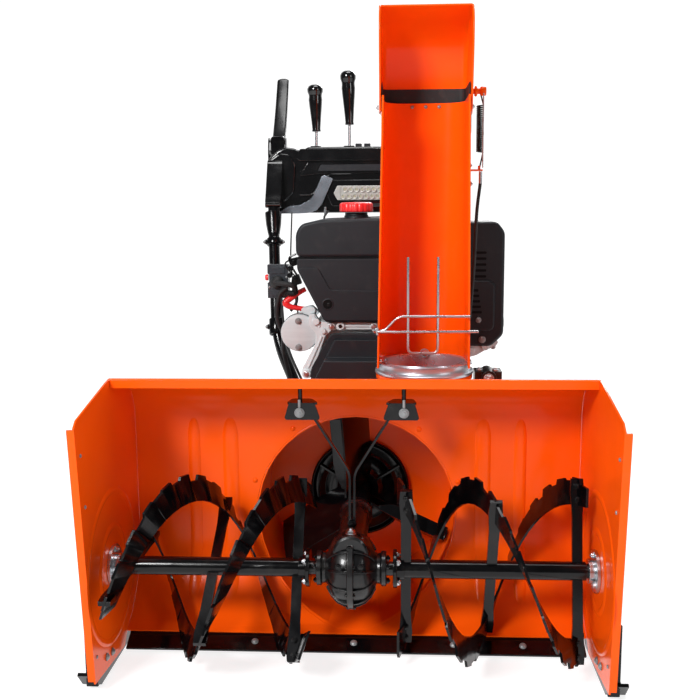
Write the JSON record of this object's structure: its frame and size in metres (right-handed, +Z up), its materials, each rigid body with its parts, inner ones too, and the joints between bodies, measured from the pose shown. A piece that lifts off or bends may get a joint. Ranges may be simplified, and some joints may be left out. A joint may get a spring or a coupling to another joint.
{
  "type": "two stage snowblower",
  "caption": "Walk-behind two stage snowblower with ribbon augers, impeller drum, turning chute, engine, wheels and handlebar controls.",
  "frame": {"origin": "middle of the footprint, on the ground", "axes": "+Z up, -Y forward toward the snow, +X to the right seen from the front"},
  "size_m": [0.9416, 1.327, 1.1964],
  "materials": {
    "orange_paint": "gloss",
    "black_paint": "gloss",
    "black_plastic": "matt",
    "gloss_plastic": "gloss",
    "zinc": "zinc plated",
    "alloy": "cast",
    "rubber": "matt",
    "tyre": "matt",
    "red_plastic": "satin",
    "grey_plastic": "matt",
    "lens": "clear",
    "iron": "painted black"
  },
  "bodies": {
    "chassis": {"housing_wrap": "orange_paint", "impeller_drum": "orange_paint", "side_plate_left": "orange_paint", "side_plate_right": "orange_paint", "skid_shoe_left": "black_paint", "skid_shoe_right": "black_paint", "shaft_bearing_left": "zinc", "shaft_bearing_right": "zinc", "support_strap_left": "black_paint", "support_strap_right": "black_paint", "scraper_blade": "black_paint", "gearbox_case": "iron", "auger_belt": "rubber", "traction_belt": "rubber", "belt_cover": "black_plastic", "engine_block": "alloy", "engine_shroud": "black_plastic", "fuel_tank": "black_plastic", "muffler_guard": "black_paint", "recoil_housing": "black_plastic", "starter_motor": "alloy", "starter_switch_box": "grey_plastic", "transmission_case": "black_paint", "chute_drive_bracket": "iron", "handlebar_left": "black_paint", "handlebar_right": "black_paint", "grip_left": "rubber", "grip_right": "rubber", "console": "gloss_plastic", "light_bar": "lens"},
    "augers": {"auger_shaft": "zinc", "auger_left": "black_paint", "auger_right": "black_paint", "worm_wheel": "zinc"},
    "impeller_rotor": {"impeller_shaft": "zinc", "impeller": "black_paint", "impeller_pulley": "black_paint"},
    "crankshaft": {"engine_pulley": "zinc"},
    "traction_rotor": {"traction_disc": "zinc"},
    "friction_drive": {"friction_wheel": "zinc"},
    "wheels": {"axle": "zinc", "rim_left": "black_paint", "rim_right": "black_paint", "tyre_left": "tyre", "tyre_right": "tyre"},
    "chute_turret": {"chute_ring": "zinc", "chute": "orange_paint", "chute_guard": "zinc", "deflector_flap": "rubber", "deflector_spring": "black_paint"},
    "deflector_hood": {"deflector": "orange_paint"},
    "drive_clutch": {"drive_lever": "gloss_plastic"},
    "auger_clutch": {"auger_lever": "gloss_plastic"},
    "speed_selector": {"speed_lever": "gloss_plastic"},
    "chute_selector": {"chute_lever": "gloss_plastic"},
    "cap": {"fuel_cap": "red_plastic"},
    "starter_pull": {"recoil_handle": "gloss_plastic"},
    "start_switch": {"starter_button": "red_plastic"},
    "light_switch": {"light_button": "black_plastic"},
    "heater_switch": {"heater_button": "black_plastic"}
  },
  "joints": [
    {"name": "impeller_spin", "type": "hinge", "parent": "chassis", "child": "impeller_rotor", "pos_m": [0, -0.2225, 0.23], "axis": [0, 1, 0], "continuous": true},
    {"name": "auger_spin", "type": "hinge", "parent": "chassis", "child": "augers", "pos_m": [0, -0.4985, 0.188], "axis": [1, 0, 0], "continuous": true},
    {"name": "crank_spin", "type": "hinge", "parent": "chassis", "child": "crankshaft", "pos_m": [0, -0.0625, 0.46], "axis": [0, 1, 0], "continuous": true},
    {"name": "traction_spin", "type": "hinge", "parent": "chassis", "child": "traction_rotor", "pos_m": [0, -0.0225, 0.31], "axis": [0, 1, 0], "continuous": true},
    {"name": "wheel_spin", "type": "hinge", "parent": "chassis", "child": "wheels", "pos_m": [0, 0.0375, 0.2], "axis": [1, 0, 0], "continuous": true},
    {"name": "friction_wheel_spin", "type": "hinge", "parent": "chassis", "child": "friction_drive", "pos_m": [0, 0.0569, 0.31], "axis": [1, 0, 0], "continuous": true},
    {"name": "chute_turn", "type": "hinge", "parent": "chassis", "child": "chute_turret", "pos_m": [0.134, -0.2235, 0.508], "axis": [0, 0, 1], "range_deg": [-95, 95]},
    {"name": "deflector_tilt", "type": "hinge", "parent": "chute_turret", "child": "deflector_hood", "pos_m": [0.134, -0.2225, 1.015], "axis": [1, 0, 0], "range_deg": [0, 50], "deforming": ["deflector_flap", "deflector_spring"]},
    {"name": "drive_clutch_squeeze", "type": "hinge", "parent": "chassis", "child": "drive_clutch", "pos_m": [-0.231, 0.3975, 0.992], "axis": [1, 0, 0], "range_deg": [-36, 0], "stiffness_Nm_per_rad": 0.8, "springref_deg": 25.78},
    {"name": "auger_clutch_squeeze", "type": "hinge", "parent": "chassis", "child": "auger_clutch", "pos_m": [0.231, 0.3975, 0.992], "axis": [1, 0, 0], "range_deg": [-36, 0], "stiffness_Nm_per_rad": 0.8, "springref_deg": 25.78},
    {"name": "speed_select", "type": "hinge", "parent": "chassis", "child": "speed_selector", "pos_m": [-0.13, 0.3575, 0.948], "axis": [1, 0, 0], "range_deg": [-20, 20]},
    {"name": "chute_select", "type": "hinge", "parent": "chassis", "child": "chute_selector", "pos_m": [-0.045, 0.3575, 0.948], "axis": [0, 1, 0], "range_deg": [-13, 13]},
    {"name": "fuel_cap_turn", "type": "hinge", "parent": "chassis", "child": "cap", "pos_m": [-0.012, 0.0175, 0.821], "axis": [0, 0, 1], "range_deg": [0, 90]},
    {"name": "recoil_pull", "type": "slide", "parent": "chassis", "child": "starter_pull", "axis": [0, 1, 0], "range_m": [0, 0.4], "stiffness_N_per_m": 20, "springref_m": -0.1},
    {"name": "start_press", "type": "slide", "parent": "chassis", "child": "start_switch", "axis": [1, 0, 0], "range_m": [0, 0.003], "stiffness_N_per_m": 200, "springref_m": -0.002},
    {"name": "light_press", "type": "slide", "parent": "chassis", "child": "light_switch", "axis": [0, 0, 1], "range_m": [-0.0025, 0], "stiffness_N_per_m": 200, "springref_m": 0.002},
    {"name": "heater_press", "type": "slide", "parent": "chassis", "child": "heater_switch", "axis": [0, 0, 1], "range_m": [-0.0025, 0], "stiffness_N_per_m": 200, "springref_m": 0.002}
  ],
  "couplings": [
    {"joint": "auger_spin", "follows": "impeller_spin", "ratio": 0.1},
    {"joint": "friction_wheel_spin", "follows": "wheel_spin", "ratio": 8}
  ]
}
